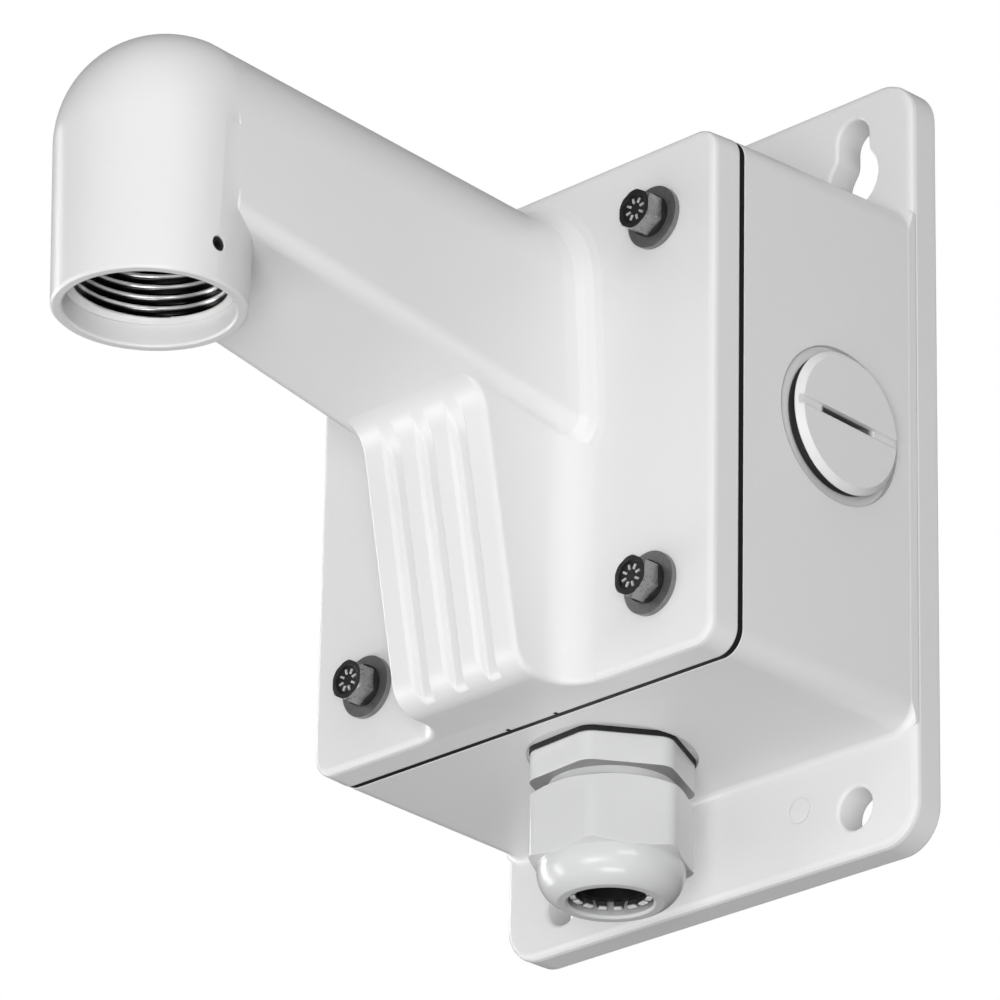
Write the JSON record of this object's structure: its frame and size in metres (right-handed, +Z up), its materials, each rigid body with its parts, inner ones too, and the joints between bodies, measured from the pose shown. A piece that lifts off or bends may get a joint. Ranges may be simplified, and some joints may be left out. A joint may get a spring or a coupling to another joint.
{
  "type": "camera wall bracket",
  "caption": "Wall bracket: a square junction box on an eared plate, a screwed cover with a hollow D-shaped arm ending in a threaded spout that opens down, a cable gland and a blind plug.",
  "frame": {"origin": "middle of the wall plate's back, in the wall plane", "axes": "+Z up, -Y out of the wall along the arm, +X to the right seen from in front, towards the side plug"},
  "size_m": [0.1175, 0.1846, 0.1772],
  "materials": {
    "casting": "satin powder coat",
    "nylon": "satin",
    "rubber": "matt",
    "steel": "bright",
    "spring_steel": "dark"
  },
  "bodies": {
    "root": {"wall_box": "casting", "cover_arm": "casting", "cover_gasket": "rubber", "cover_screws": "steel", "cover_spring_washers": "spring_steel", "cover_flat_washers": "steel", "spout_grub_screw": "steel", "side_plug": "casting", "side_plug_seal": "rubber", "gland_body": "nylon", "gland_seal_washer": "rubber", "gland_lock_nut": "nylon", "gland_claw_ring": "nylon", "gland_cable_seal": "rubber", "gland_cap_nut": "nylon"}
  },
  "joints": []
}
